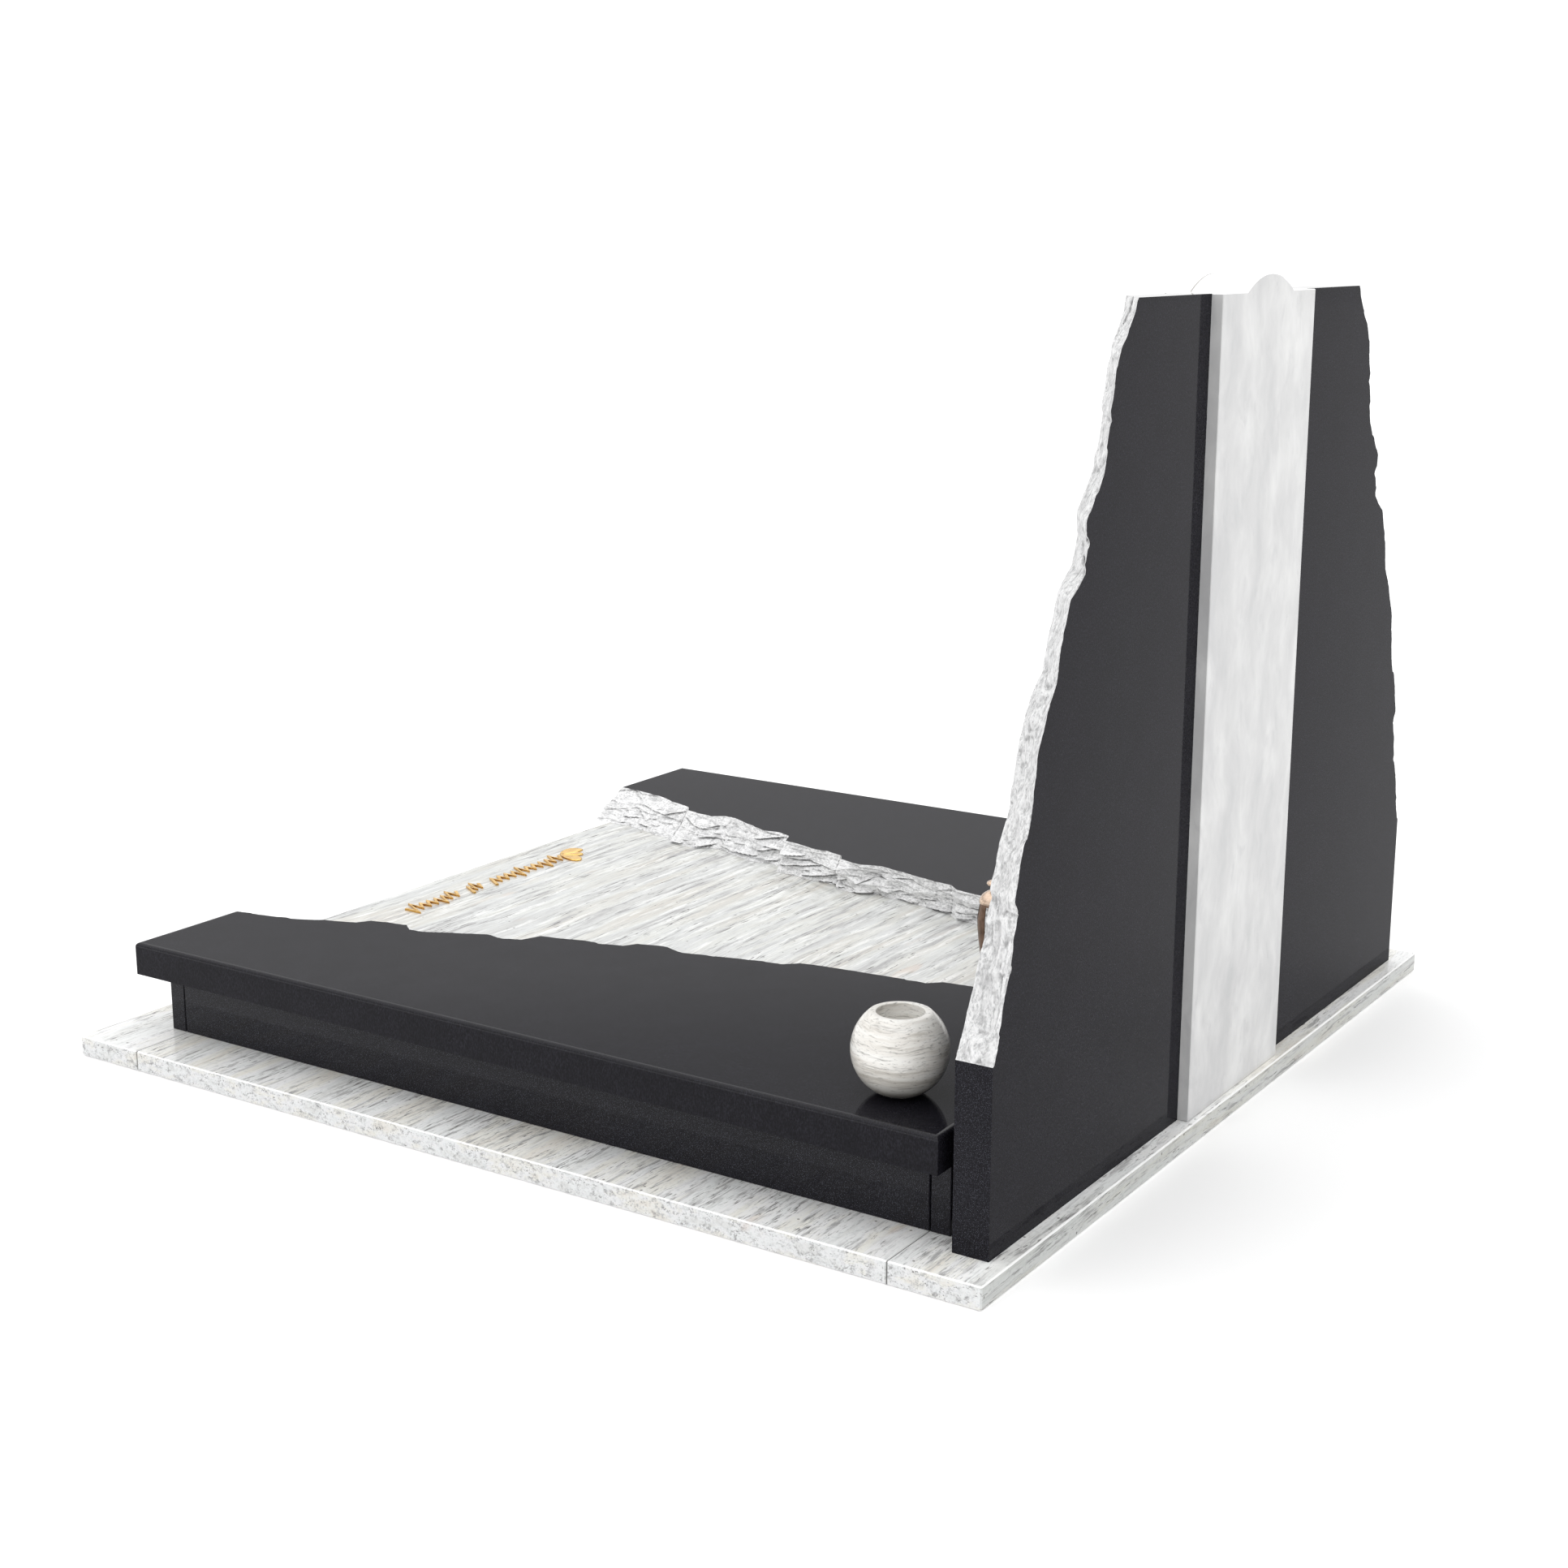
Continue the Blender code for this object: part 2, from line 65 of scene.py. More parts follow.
# Sizes that the solids' rough edges are worked out from
JOINT = 0.003
COVER_ARRIS = 0.0105
COVER_FOOT_HALF = 0.808
COVER_FOOT_PULL = 0.577
COVER_HEAD_PULL = 0.290
COVER_HEAD_HALF = 0.285
COVER_SLOPE = 0.122
COVER_SLOPE_END = 0.55
STONE_PLAIN_TALL = 0.394
STONE_PULL_IN = 0.103
STONE_TOP_PULL = 0.327
STONE_TOP_IN = 0.501
STONE_BEVEL_PULL = 0.078
STONE_BEVEL_TOP_PULL = 0.125
STONE_BEVEL_TOP = 0.127
CHIP_LONG = 0.085
CHIP_TALL = 0.040
CHIP_DEEP = 0.030
ARRIS_SHARE = 0.3
FLAKE_LEVEL = 0.3
COVER_BREAKS = (
    (0.0, 0.006), (0.13, -0.018), (0.33, -0.006), (0.35, 0.021), (0.45, 0.014), (0.48, -0.020),
    (0.52, -0.029), (0.67, -0.008), (0.72, -0.033), (0.765, -0.027), (0.785, 0.017), (1.0, 0.0),
    (1.02, 0.027), (1.10, 0.018), (1.15, -0.008), (1.40, -0.010), (1.43, 0.012), (1.75, -0.012),
    (1.78, 0.014), (2.1, 0.0),
)
STONE_BREAKS = (
    (0.0, -0.004), (0.15, -0.016), (0.28, -0.010), (0.30, 0.006), (0.48, 0.008), (0.56, 0.025),
    (0.64, 0.022), (0.68, 0.006), (0.84, 0.014), (0.88, -0.022), (0.93, -0.017), (0.98, 0.009),
    (1.06, -0.017), (1.16, -0.006), (1.18, 0.011), (1.30, 0.015), (1.36, -0.010),
)

# Fine relief of the rock-pitched faces: length, height, depth and lean of each layer
FINE_STEP = 0.0022
COVER_ROWS = 64
STONE_ROWS = 52
ARRIS_STEPS = 7
COVER_LAYERS = ((0.115, 0.024, 0.0046, 0.5), (0.060, 0.0125, 0.0019, 0.6), (0.024, 0.0075, 0.0007, 0.3))
STONE_LAYERS = ((0.075, 0.062, 0.0075, 0.0), (0.042, 0.026, 0.0030, 0.0), (0.018, 0.013, 0.0012, 0.0))
ARRIS_FINE = 0.65
GRAIN = (0.006, 0.0006)
STEP_SOFT = 0.07
FLAKE_STEP = 1.7
FLAKE_TILT_ALONG = 1.5
FLAKE_TILT_ACROSS = 2.0
FLAKE_SPREAD = 97.0
WARP_LONG = 0.05
WARP_TALL = 0.03
WARP_REACH = 0.22
COVER_SEED = 2.0
STONE_SEED = 11.0
WARP_SEED = 7
noise.seed_set(WARP_SEED)

# Overhanging ledges of the cover slabs' rock: start and stop along the edge, how far down they start and
# stop, and how far their lips stand out
LEDGES = (
    (0.082, 0.153, 0.76, 0.70, 0.006), (0.156, 0.212, 0.86, 0.84, 0.006), (0.214, 0.255, 0.76, 0.73, 0.006),
    (0.324, 0.397, 0.95, 0.92, 0.010), (0.434, 0.486, 0.64, 0.66, 0.009), (0.441, 0.493, 0.95, 0.85, 0.010),
    (0.439, 0.486, 0.39, 0.26, 0.005), (0.577, 0.678, 0.87, 0.79, 0.013), (0.642, 0.743, 0.32, 0.10, 0.012),
    (0.670, 0.732, 0.62, 0.50, 0.009), (0.704, 0.748, 0.91, 0.84, 0.008), (0.760, 0.871, 0.42, 0.29, 0.013),
    (0.780, 0.933, 0.76, 0.50, 0.010), (0.873, 0.990, 0.93, 0.66, 0.013), (0.936, 0.985, 0.96, 0.92, 0.009),
    (1.000, 1.052, 0.76, 0.57, 0.010), (0.981, 1.046, 0.97, 0.88, 0.009), (1.076, 1.132, 0.95, 0.92, 0.013),
    (1.083, 1.124, 0.70, 0.45, 0.006), (1.143, 1.191, 0.74, 0.79, 0.011), (1.190, 1.271, 0.29, 0.14, 0.006),
    (1.203, 1.288, 0.96, 0.93, 0.007), (1.288, 1.346, 0.74, 0.69, 0.007), (1.335, 1.402, 0.97, 0.92, 0.010),
    (1.432, 1.486, 0.95, 0.88, 0.009), (1.560, 1.640, 0.37, 0.30, 0.009), (1.620, 1.700, 0.72, 0.62, 0.010),
    (1.740, 1.800, 0.51, 0.45, 0.008), (1.800, 1.900, 0.87, 0.80, 0.010), (1.930, 2.020, 0.32, 0.24, 0.008),
    (2.030, 2.120, 0.64, 0.60, 0.009),
)
LEDGE_TALL = 0.20
LEDGE_UNDER = 0.10
LEDGE_CURVE = 1.5
LEDGE_UNDERCUT = 0.5
HOLLOW_REACH = 3
HOLLOW_DEEP = 0.0042

# Sprig: its outline as directions in degrees and distances from its stem, and the relief of its leaves
SPRIG_OUTLINE = (
    (225, 0.012), (214, 0.034), (205, 0.060), (197, 0.077), (187, 0.086), (177, 0.090), (170, 0.086),
    (163, 0.062), (155, 0.057), (147, 0.063), (138, 0.066), (130, 0.062), (119, 0.050), (108, 0.057),
    (97, 0.072), (86, 0.080), (76, 0.080), (68, 0.066), (62, 0.042), (52, 0.018),
)
SPRIG_NOTCHES = (159, 119)
SPRIG_GROOVE = 7.0
SPRIG_FINE = 4
SPRIG_RINGS = (
    (1.0, 0.0, 0.0), (1.0, 0.45, 0.0), (0.985, 0.72, 0.1), (0.95, 0.90, 0.3), (0.88, 1.0, 0.5),
    (0.75, 0.97, 0.65), (0.55, 0.88, 0.7), (0.35, 0.85, 0.6), (0.15, 0.85, 0.3),
)

# Vase and lantern
VASE_RADIUS = 0.100
VASE_FOOT_RADIUS = 0.036
VASE_LIP_RADIUS = 0.062
VASE_BORE_RADIUS = 0.049
VASE_FLOOR = 0.028
VASE_LIP_EASE = 0.002
VASE_STEPS = 48
VASE_FLOOR_STEPS = 8
VASE_LIP_TURN = 1.2
VASE_LIP_SOFT = (0.0008, 0.0003)
VASE_LIP_FLAT = 0.003
LANTERN_RADIUS = 0.042
LANTERN_FOOT_RADIUS = 0.030
LANTERN_RIM_RADIUS = 0.036
LANTERN_TALL = 0.187
LANTERN_SWELL = 2.2
LANTERN_WALL = 0.003
LANTERN_BELLY = 0.8
LANTERN_EASE = 0.001
LANTERN_STEPS = 24
SLOT_COUNT = 6
SLOT_TURN = math.radians(2)
SLOT_WIDTH = 0.014
SLOT_LOW = 0.104
SLOT_HIGH = 0.183
LID_RADIUS = 0.038
LID_SKIRT = 0.002
LID_RISE = 0.030
KNOB_RADIUS = 0.021
KNOB_HALF_TALL = 0.0075
KNOB_NECK = 0.0075
KNOB_NECK_TALL = 0.009
KNOB_JOIN = 1.02
LID_EASE = 0.0008
LID_STEPS = 20
ROUND_SIDES = 96
ROUND_CREASE = 30.0
STROKE_ROUND = 0.0008
STROKE_SEGMENTS = 3
SLAB_CREASE = 38.0
SPRIG_CREASE = 50.0
SOFT_ANGLE = 35


class Surface:
    """A procedural material, with short ways to add and link its nodes."""

    def __init__(self, name):
        self.material = bpy.data.materials.new(name)
        self.material.use_nodes = True
        self.tree = self.material.node_tree
        self.shader = self.tree.nodes["Principled BSDF"]
        self.place = self.add("ShaderNodeTexCoord").outputs["Object"]

    def add(self, kind, inputs=None, **settings):
        node = self.tree.nodes.new(kind)
        for key, value in settings.items():
            setattr(node, key, value)
        for key, value in (inputs or {}).items():
            if isinstance(value, bpy.types.NodeSocket):
                self.tree.links.new(value, node.inputs[key])
            else:
                node.inputs[key].default_value = value
        return node

    def stretched(self, vector, scale):
        return self.add("ShaderNodeMapping", {"Vector": vector, "Scale": scale}).outputs[0]

    def vector_math(self, way, a, b):
        return self.add("ShaderNodeVectorMath", {0: a, 1: b}, operation=way).outputs[0]

    def noise(self, vector, scale=1.0, detail=3.0, rough=0.55, colour=False):
        inputs = {"Vector": vector, "Scale": scale, "Detail": detail, "Roughness": rough}
        return self.add("ShaderNodeTexNoise", inputs).outputs["Color" if colour else "Fac"]

    def wavy(self, vector, scale, reach):
        """The place pushed about by slow noise, so that streaks waver."""
        push = self.noise(vector, scale, 2.0, colour=True)
        centred = self.vector_math("SUBTRACT", push, (0.5, 0.5, 0.5))
        sized = self.vector_math("MULTIPLY", centred, (reach, reach, reach))
        return self.vector_math("ADD", vector, sized)

    def ramp(self, share, *stops):
        """Colours or greys by share, as (place, colour) stops."""
        node = self.add("ShaderNodeValToRGB", {0: share})
        marks = node.color_ramp.elements
        while len(marks) < len(stops):
            marks.new(0.5)
        for mark, (place, colour) in zip(marks, stops):
            mark.position = place
            grey = (colour, colour, colour) if isinstance(colour, (int, float)) else colour
            mark.color = (*grey, 1.0)
        return node.outputs["Color"]

    def fade(self, share, low, high, start=0.0, stop=1.0):
        """share rescaled from low..high to start..stop, smooth at both ends."""
        node = self.add("ShaderNodeMapRange", {0: share, 1: low, 2: high, 3: start, 4: stop})
        node.interpolation_type = "SMOOTHSTEP"
        return node.outputs[0]

    def times(self, a, b):
        return self.add("ShaderNodeMath", {0: a, 1: b}, operation="MULTIPLY").outputs[0]

    def mix(self, share, a, b, way="MIX"):
        node = self.add("ShaderNodeMix", data_type="RGBA", blend_type=way)
        for index, value in ((0, share), (6, a), (7, b)):
            if isinstance(value, bpy.types.NodeSocket):
                self.tree.links.new(value, node.inputs[index])
            else:
                node.inputs[index].default_value = (*value, 1.0) if index else value
        return node.outputs[2]

    def bump(self, height, depth, strength):
        inputs = {"Height": height, "Distance": depth, "Strength": strength}
        return self.add("ShaderNodeBump", inputs).outputs[0]

    def split(self, vector):
        return self.add("ShaderNodeSeparateXYZ", {0: vector}).outputs

    def facing(self):
        """Which way the surface faces, split into x, y and z."""
        return self.split(self.add("ShaderNodeNewGeometry").outputs["Normal"])

    def finish(self, colour, roughness, normal=None, **constants):
        for key, value in (("Base Color", colour), ("Roughness", roughness), ("Normal", normal)):
            if isinstance(value, bpy.types.NodeSocket):
                self.tree.links.new(value, self.shader.inputs[key])
            elif value is not None:
                self.shader.inputs[key].default_value = value
        for key, value in constants.items():
            self.shader.inputs[key.replace("_", " ")].default_value = value
        return self.material


PALE_TONES = (
    (0.76, 0.73, 0.67), (0.80, 0.795, 0.75), (0.85, 0.862, 0.83), (0.79, 0.805, 0.80), (0.72, 0.725, 0.71),
)
# Painted shade: the pale granite's upright faces are made darker than its level ones
PALE_UPRIGHT_PAINTED_SHADE = (0.80, 0.80, 0.80 * 1.01)
# Painted shade on the pale granite's faces that look along +y
PALE_BACK_PAINTED_SHADE = (0.68, 0.69, 0.67)
# Heights over which painted shade darkens the ball's lower part, and its foot further
BALL_LOWER_PAINTED_SHADE = (0.300, 0.372)
BALL_SHADE = (0.281, 0.312)
JOINT_DARK = 0.0014


def streaked_granite(name, fine, long, slow, tone, contrast, joints=()):
    """Pale granite with fine dark dashes. fine, long and slow are how often each layer repeats in x, y and z.
    tone is its lightness, and joints the places in y where two stones meet in a thin dark line. Its upright
    and
    +y-facing faces are darkened with painted shade, and its sloping chamfers carry a painted highlight."""
    s = Surface(name)
    place = s.wavy(s.wavy(s.place, 1.6, 0.05), 9.0, 0.008)
    band = s.noise(s.stretched(place, slow), detail=4.0, rough=0.6)
    other = s.noise(s.stretched(place, [value * 2.3 + 0.3 for value in slow]), detail=3.0)
    dash = s.noise(s.stretched(place, fine), detail=3.0, rough=0.6)
    streak = s.noise(s.stretched(place, long), detail=5.0, rough=0.65)
    mottle = s.noise(s.place, 95.0, 4.0, 0.65)
    light = [tuple(min(0.95, value * tone) for value in colour) for colour in PALE_TONES]
    base = s.ramp(band, *zip((0.34, 0.43, 0.50, 0.57, 0.66), light))
    grouped = s.fade(other, 0.40, 0.62, 0.18 * contrast, 0.85 * contrast)
    base = s.mix(s.times(grouped, s.fade(streak, 0.47, 0.64)), base, (0.44, 0.435, 0.435))
    base = s.mix(s.fade(streak, 0.47, 0.36, 0.0, 0.50 * contrast), base, (0.93, 0.93, 0.92))
    base = s.mix(s.times(grouped, s.fade(dash, 0.56, 0.68)), base, (0.17, 0.165, 0.16))
    base = s.mix(s.fade(mottle, 0.54, 0.72, 0.0, 0.30 * contrast), base, (0.44, 0.45, 0.465))
    rust = s.noise(s.stretched(place, (4.0, 11.0, 11.0)), detail=2.0)
    base = s.mix(s.fade(rust, 0.67, 0.78, 0.0, 0.35), base, (0.74, 0.55, 0.42))
    speck = s.add("ShaderNodeTexVoronoi", {"Vector": s.place, "Scale": 52.0})
    chosen = s.fade(s.add("ShaderNodeSeparateColor", {0: speck.outputs["Color"]}).outputs[0], 0.90, 0.93)
    spot = s.fade(speck.outputs["Distance"], 0.20, 0.10, 0.0, 0.75)
    base = s.mix(s.times(chosen, spot), base, (0.10, 0.08, 0.07))
    facing = s.facing()
    level = s.add("ShaderNodeMath", {0: facing["Z"]}, operation="ABSOLUTE").outputs[0]
    # Painted shade: upright faces darkened
    base = s.mix(s.fade(level, 0.55, 0.35), base, PALE_UPRIGHT_PAINTED_SHADE, "MULTIPLY")
    # Painted shade: faces looking along +y darkened
    base = s.mix(s.fade(facing["Y"], 0.5, 0.9), base, PALE_BACK_PAINTED_SHADE, "MULTIPLY")
    # Painted highlight: sloping chamfer faces between level and upright lightened to a bright line
    painted_arris_highlight = s.times(s.fade(level, 0.50, 0.62), s.fade(level, 0.92, 0.80))
    base = s.mix(s.times(painted_arris_highlight, 0.65), base, (0.95, 0.95, 0.95))
    along = s.split(s.place)["Y"]
    for joint in joints:
        near = s.add("ShaderNodeMath", {0: along, 1: joint, 2: JOINT_DARK}, operation="COMPARE").outputs[0]
        base = s.mix(s.times(near, 0.8), base, (0.16, 0.155, 0.15))
    roughness = s.fade(dash, 0.3, 0.7, 0.07, 0.13)
    return s.finish(base, roughness, IOR=1.45)


BLACK_TONES = (
    (0.36, (0.0062, 0.0058, 0.0076)), (0.50, (0.0110, 0.0104, 0.0136)), (0.66, (0.0220, 0.0212, 0.0280)),
)


def black_granite(name, stretch, gloss, fleck=(0.135, 0.142, 0.185)):
    """Polished black granite with small flecks of a blue-grey colour.

    stretch is how often they repeat in x, y and z, and gloss its index of refraction.
    """
    s = Surface(name)
    grain = s.noise(s.stretched(s.place, stretch), detail=3.0, rough=0.7)
    wide = s.stretched(s.place, [value * 0.8 for value in stretch])
    cells = s.add("ShaderNodeTexVoronoi", {"Vector": wide})
    chosen = s.fade(s.add("ShaderNodeSeparateColor", {0: cells.outputs["Color"]}).outputs[0], 0.84, 0.98)
    spot = s.fade(cells.outputs["Distance"], 0.40, 0.10)
    cloud = s.noise(s.place, 11.0, 4.0, 0.6)
    base = s.ramp(grain, *BLACK_TONES)
    base = s.mix(s.fade(cloud, 0.35, 0.65, 0.0, 0.35), base, (0.0075, 0.0071, 0.0090))
    base = s.mix(s.times(chosen, spot), base, fleck)
    roughness = s.fade(cloud, 0.3, 0.7, 0.035, 0.07)
    return s.finish(base, roughness, IOR=gloss)


def pitched_rock(name, stretch, tone, shade):
    """Light grey broken granite. stretch draws its grain out along the edge, tone is its lightness, and shade
    how dark the painted shade is in the hollows under its lips. Its ridges get a painted highlight."""
    s = Surface(name)
    place = s.wavy(s.place, 14.0, 0.016)
    patch = s.noise(s.stretched(place, [value * 15.0 for value in stretch]), detail=3.0, rough=0.6)
    cloud = s.noise(s.stretched(place, [value * 62.0 for value in stretch]), detail=4.0, rough=0.62)
    grain = s.noise(s.stretched(place, [value * 190.0 for value in stretch]), detail=4.0, rough=0.68)
    base = s.ramp(grain, (0.34, (0.47, 0.47, 0.475)), (0.46, (0.72, 0.72, 0.725)), (0.58, (0.92, 0.92, 0.92)))
    base = s.mix(s.fade(cloud, 0.49, 0.36, 0.0, 0.42), base, (0.32, 0.32, 0.325))
    base = s.mix(s.fade(cloud, 0.52, 0.66, 0.0, 0.70), base, (0.95, 0.95, 0.95))
    base = s.mix(s.fade(patch, 0.44, 0.32, 0.0, 0.35), base, (0.40, 0.40, 0.405))
    base = s.mix(1.0, base, (tone, tone, tone), "MULTIPLY")
    hollow = s.add("ShaderNodeAttribute", attribute_name="hollow").outputs["Fac"]
    # Painted shade: darkens the rock in the hollows under its lips
    base = s.mix(s.fade(hollow, 0.53, 0.88, 0.0, shade), base, (0.10, 0.10, 0.102))
    # Painted highlight: lightens the rock where it stands out from its surroundings
    base = s.mix(s.fade(hollow, 0.46, 0.20, 0.0, 0.40), base, (0.93, 0.93, 0.93))
    rough = s.bump(grain, 0.0026, 0.8)
    return s.finish(base, 0.70, rough, IOR=1.45)


MARBLE_TONES = ((0.34, (0.505, 0.505, 0.51)), (0.50, (0.575, 0.575, 0.575)), (0.68, (0.68, 0.68, 0.675)))
# Painted shade: distances behind front_y over which the dark line along the marble's front edge fades out
EDGE_PAINTED_SHADE_LINE = (0.003, 0.006)


def clouded_marble(name, front_y):
    """White marble with soft clouds. Its level faces are lightened with painted light, and a thin line of
    painted shade runs along their edge at front_y.
    """
    s = Surface(name)
    place = s.wavy(s.place, 3.5, 0.14)
    cloud = s.noise(s.stretched(place, (8.0, 8.0, 3.6)), detail=5.0, rough=0.6)
    vein = s.noise(s.stretched(place, (22.0, 22.0, 9.0)), detail=4.0, rough=0.65)
    base = s.ramp(cloud, *MARBLE_TONES)
    base = s.mix(s.fade(vein, 0.54, 0.72, 0.0, 0.42), base, (0.46, 0.46, 0.47))
    level = s.fade(s.facing()["Z"], 0.10, 0.25)
    # Painted light: level faces made lighter than upright ones
    base = s.mix(level, base, (0.96, 0.96, 0.96))
    # Painted shade: a thin dark brownish line along the level faces' edge at front_y
    painted_edge_shade = s.fade(s.split(s.place)["Y"], front_y + EDGE_PAINTED_SHADE_LINE[1], front_y + EDGE_PAINTED_SHADE_LINE[0], 0.0, 0.8)
    base = s.mix(s.times(level, painted_edge_shade), base, (0.20, 0.18, 0.15))
    return s.finish(base, s.fade(vein, 0.3, 0.7, 0.05, 0.10), IOR=1.45)


def banded_ball(name):
    """Pale granite of the ball, with wavering level bands and painted shade that darkens its lower part
    towards the foot.
    """
    s = Surface(name)
    place = s.wavy(s.place, 12.0, 0.022)
    band = s.noise(s.stretched(place, (5.0, 5.0, 62.0)), detail=5.0, rough=0.62)
    line = s.noise(s.stretched(place, (14.0, 14.0, 190.0)), detail=4.0, rough=0.65)
    dash = s.noise(s.stretched(place, (75.0, 75.0, 330.0)), detail=3.0, rough=0.6)
    base = s.ramp(band, (0.34, (0.56, 0.53, 0.48)), (0.46, (0.77, 0.745, 0.70)), (0.60, (0.87, 0.86, 0.825)))
    base = s.mix(s.fade(line, 0.52, 0.70, 0.0, 0.75), base, (0.33, 0.315, 0.295))
    base = s.mix(s.fade(dash, 0.55, 0.70, 0.0, 0.55), base, (0.20, 0.19, 0.18))
    height = s.split(s.wavy(s.place, 25.0, 0.02))["Z"]
    # Painted shade: the ball darkened towards its foot
    base = s.mix(s.fade(height, *BALL_LOWER_PAINTED_SHADE, 0.50, 0.0), base, (0.22, 0.205, 0.175))
    base = s.mix(s.fade(height, *BALL_SHADE, 0.80, 0.0), base, (0.05, 0.045, 0.038))
    return s.finish(base, s.fade(dash, 0.3, 0.7, 0.08, 0.14), IOR=1.45)


def cast_metal(name, dark, light, roughness, painted_upright_shade=1.0):
    """Metal with a slightly uneven patina. The last argument is how light painted shade leaves its upright
    faces beside its level ones.
    """
    s = Surface(name)
    patina = s.noise(s.place, 55.0, 5.0, 0.6)
    fine = s.noise(s.place, 700.0, 2.0)
    base = s.ramp(patina, (0.34, dark), (0.66, light))
    # Painted shade: upright faces darkened, more in blue than in red
    if painted_upright_shade < 1.0:
        upright = s.fade(s.facing()["Z"], 0.75, 0.35)
        base = s.mix(upright, base, (painted_upright_shade, painted_upright_shade * 0.9, painted_upright_shade * 0.75), "MULTIPLY")
    worn = s.fade(patina, 0.3, 0.7, roughness * 0.8, roughness * 1.25)
    return s.finish(base, worn, s.bump(fine, 0.0003, 0.5), Metallic=1.0)


foot_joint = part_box("plinth_front")[1].y
head_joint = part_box("plinth_back")[0].y
PALE = streaked_granite(
    "pale_granite", (30.0, 230.0, 300.0), (11.0, 100.0, 130.0), (1.3, 12.0, 30.0), tone=1.18, contrast=1.15,
    joints=(foot_joint, head_joint),
)
PALE_SLAB = streaked_granite(
    "pale_granite_slab", (14.0, 190.0, 200.0), (5.0, 62.0, 60.0), (1.1, 15.0, 16.0), tone=0.85, contrast=1.35
)
BALL = banded_ball("pale_granite_ball")
FLECKS = (400.0, 400.0, 170.0)
# The stone's own flecks, made brighter for the side and wall faces as painted light that lifts those upright
# faces
BRIGHT_FLECK_AND_PAINTED_LIGHT = (0.27, 0.285, 0.35)
BLACK = black_granite("black_granite", FLECKS, 1.12)
BLACK_FAR = black_granite("black_granite_far", FLECKS, 1.09)
BLACK_SIDE = black_granite("black_granite_side", FLECKS, 1.19, BRIGHT_FLECK_AND_PAINTED_LIGHT)
BLACK_ARRIS = black_granite("black_granite_arris", FLECKS, 1.31)
BLACK_WALL = black_granite("black_granite_wall", FLECKS, 1.27, BRIGHT_FLECK_AND_PAINTED_LIGHT)
ROCK_COVER = pitched_rock("pitched_rock_flat", (1.1, 0.60, 1.5), 1.04, 0.70)
ROCK_STONE = pitched_rock("pitched_rock_upright", (1.25, 1.25, 0.50), 0.90, 0.35)
WHITE = clouded_marble("white_marble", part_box("headstone_center")[0].y)
BRONZE = cast_metal("brown_bronze", (0.13, 0.082, 0.058), (0.24, 0.155, 0.112), 0.34)
COPPER = cast_metal("copper_bronze", (0.56, 0.42, 0.32), (0.80, 0.62, 0.49), 0.24)
# Near-black bronze for the inside of the lantern pot: painted shade for its dark inside
INSIDE_PAINTED_SHADE = cast_metal("bronze_inside_painted_shade", (0.006, 0.004, 0.003), (0.02, 0.013, 0.010), 0.8)
GILT = cast_metal("gilt_brass", (0.80, 0.48, 0.13), (1.0, 0.70, 0.28), 0.30, painted_upright_shade=0.80)


cover_low_corner, cover_high_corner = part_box("cover_right")
stone_low_corner, stone_high_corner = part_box("headstone_right")
cover_foot_y = cover_low_corner.y
cover_head_y = cover_high_corner.y
cover_low = cover_low_corner.z
cover_top = cover_high_corner.z
cover_x = cover_high_corner.x
stone_front_y = stone_low_corner.y
stone_back_y = stone_high_corner.y
stone_low = stone_low_corner.z
stone_top = stone_high_corner.z
stone_inner_x = stone_low_corner.x
stone_x = stone_high_corner.x


def bezier(share, a, b, c, d):
    rest = 1 - share
    return a * rest**3 + 3 * b * share * rest**2 + 3 * c * share**2 * rest + d * share**3


def between(breaks, along):
    for (start, low), (stop, high) in zip(breaks, breaks[1:]):
        if along < stop:
            return low + (high - low) * max(0.0, along - start) / (stop - start)
    return breaks[-1][1]


def facets(along, across, layer, seed):
    """Depth of flat-faced flakes that meet in sharp steps. A layer that leans makes ledges over hollows."""
    long, tall, deep, lean = layer
    here = Vector((along / long, across / tall, seed))
    distances, centres = noise.voronoi(here)

    def depth(centre):
        chance = noise.cell_vector(centre * FLAKE_SPREAD)
        off = here - centre
        step = (chance.x - 0.5) * FLAKE_STEP
        along_tilt = (chance.y - 0.5) * FLAKE_TILT_ALONG * off.x
        return step + along_tilt + (lean + chance.z - 0.5) * FLAKE_TILT_ACROSS * off.y

    value = depth(centres[0])
    edge = distances[1] - distances[0]
    if edge < STEP_SOFT:
        share = 0.5 * (1 - edge / STEP_SOFT)
        value = value * (1 - share) + depth(centres[1]) * share
    return deep * value


def ledges(along, share):
    """How far the cover slabs' ledges stand out above their lips, and lie back under them."""
    out = 0.0
    for start, stop, start_down, stop_down, deep in LEDGES:
        if start < along < stop:
            place = (along - start) / (stop - start)
            below = share - (start_down + (stop_down - start_down) * place)
            taper = math.sqrt(4 * place * (1 - place))
            if -LEDGE_TALL < below <= 0:
                out += deep * taper * (1 + below / LEDGE_TALL) ** LEDGE_CURVE
            elif 0 < below < LEDGE_UNDER:
                out -= LEDGE_UNDERCUT * deep * taper * (1 - below / LEDGE_UNDER)
    return out


def hollows(depths):
    """How far each point of a grid of depths lies back among those around it.

    It is 0.5 where the rock is level and 1 in a deep hollow.
    """
    grid = np.array(depths)
    reach = HOLLOW_REACH // 1
    wide = np.pad(grid, reach, mode="edge")
    tall, across = grid.shape
    steps = (0, reach, 2 * reach)
    around = sum(wide[i : i + tall, j : j + across] for i in steps for j in steps) / len(steps) ** 2
    return 0.5 + 0.5 * np.clip((around - grid) / HOLLOW_DEEP, -1, 1)


